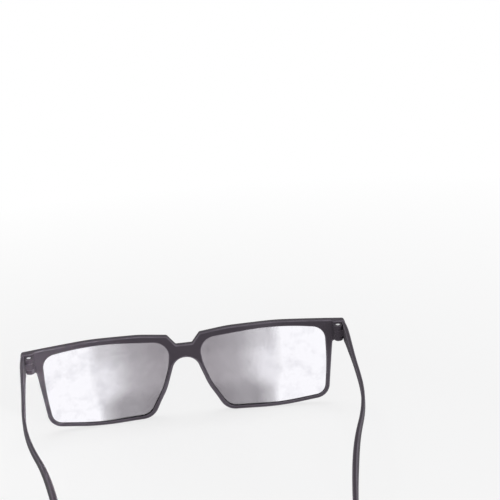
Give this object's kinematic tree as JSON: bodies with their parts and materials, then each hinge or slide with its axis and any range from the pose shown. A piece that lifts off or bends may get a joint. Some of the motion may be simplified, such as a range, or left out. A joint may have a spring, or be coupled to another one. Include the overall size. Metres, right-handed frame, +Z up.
{
  "type": "rear-view spy sunglasses",
  "caption": "Rectangular sunglasses with smoked lenses whose outer halves are mirrored on the wearer's side, on folding temples.",
  "frame": {"origin": "middle of the glasses' plan, on the surface that the rims and the temple tips stand on", "axes": "+X towards the wearer's right, +Y the way the wearer looks, +Z up"},
  "size_m": [0.1424, 0.1406, 0.04],
  "materials": {
    "frame_plastic": "injection-moulded black plastic, satin gloss",
    "smoked_lens": "clear smoke-tinted plastic sheet, polished",
    "mirror_film": "vacuum-deposited mirror coat",
    "screw_steel": "plated steel screw"
  },
  "bodies": {
    "front": {"front_frame": "frame_plastic", "right_lens": "smoked_lens", "left_lens": "smoked_lens", "right_mirror_film": "mirror_film", "left_mirror_film": "mirror_film", "right_hinge_screw": "screw_steel", "left_hinge_screw": "screw_steel"},
    "right_arm": {"right_temple": "frame_plastic"},
    "left_arm": {"left_temple": "frame_plastic"}
  },
  "joints": [
    {"name": "right_hinge", "type": "hinge", "parent": "front", "child": "right_arm", "pos_m": [0.0675, 0.05574, 0.03486], "axis": [0, 0, -1], "range_deg": [0, 85]},
    {"name": "left_hinge", "type": "hinge", "parent": "front", "child": "left_arm", "pos_m": [-0.0675, 0.05574, 0.03486], "axis": [0, 0, 1], "range_deg": [0, 78]}
  ]
}
